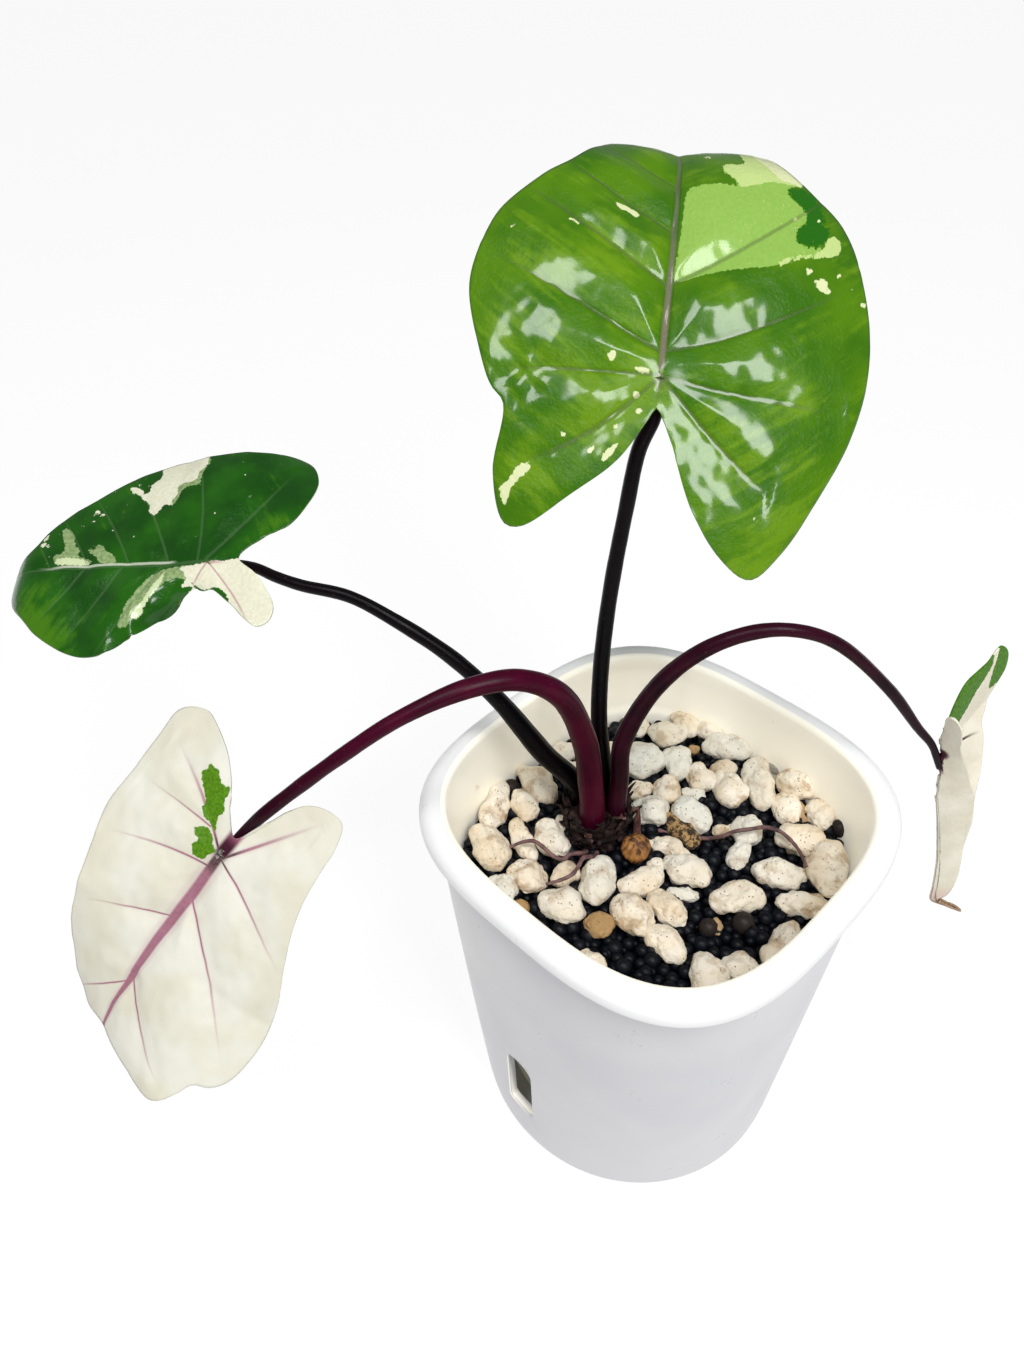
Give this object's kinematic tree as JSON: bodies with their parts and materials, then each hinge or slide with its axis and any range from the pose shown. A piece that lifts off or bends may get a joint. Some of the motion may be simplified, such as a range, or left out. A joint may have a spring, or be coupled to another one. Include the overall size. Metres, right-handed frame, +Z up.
{
  "type": "potted giant taro",
  "caption": "Arrow-leaved aroid with arching dark stems in a rounded-square white pot, topped with pumice stones on black beads.",
  "frame": {"origin": "middle of the pot's round base, on the surface it stands on", "axes": "+Z up; the pot's flat sides are parallel to X and Y; -Y is the side with the overflow slot"},
  "size_m": [0.2369, 0.2363, 0.2846],
  "materials": {
    "pot": "white, glossy, moulded",
    "basket": "grey-green, matte, moulded",
    "beads": "blue-black fired beads, satin",
    "pumice": "cream pumice, dull and pitted",
    "corm": "dark brown, rough, ringed with old leaf scars",
    "root": "brown, dull, wiry",
    "black_stem": "near-black purple, glossy skin",
    "red_stem": "burgundy, glossy skin",
    "green_leaf": "bright green with cream patches, wet gloss",
    "dark_leaf": "dark green with cream patches, wet gloss",
    "white_leaf": "ivory with pink veins, satin"
  },
  "bodies": {
    "root": {"pot": "pot", "inner_basket": "basket", "bead_fill": "beads", "pumice_01": "pumice", "pumice_02": "pumice", "pumice_03": "pumice", "pumice_04": "pumice", "pumice_05": "pumice", "pumice_06": "pumice", "pumice_07": "pumice", "pumice_08": "pumice", "pumice_09": "pumice", "pumice_10": "pumice", "pumice_11": "pumice", "pumice_12": "pumice", "pumice_13": "pumice", "pumice_14": "pumice", "pumice_15": "pumice", "pumice_16": "pumice", "pumice_17": "pumice", "pumice_18": "pumice", "pumice_19": "pumice", "pumice_20": "pumice", "pumice_21": "pumice", "pumice_22": "pumice", "pumice_23": "pumice", "pumice_24": "pumice", "pumice_25": "pumice", "pumice_26": "pumice", "pumice_27": "pumice", "pumice_28": "pumice", "pumice_29": "pumice", "pumice_30": "pumice", "pumice_31": "pumice", "pumice_32": "pumice", "pumice_33": "pumice", "pumice_34": "pumice", "pumice_35": "pumice", "pumice_36": "pumice", "pumice_37": "pumice", "pumice_38": "pumice", "pumice_39": "pumice", "pumice_40": "pumice", "pumice_41": "pumice", "pumice_42": "pumice", "corm": "corm", "cormel": "corm", "old_stem_stub": "red_stem", "root_1": "root", "root_2": "root", "root_3": "root", "leaf_green": "green_leaf", "stem_green": "black_stem", "leaf_dark": "dark_leaf", "stem_dark": "black_stem", "leaf_white": "white_leaf", "stem_white": "red_stem", "leaf_rolled": "white_leaf", "stem_rolled": "red_stem"}
  },
  "joints": []
}
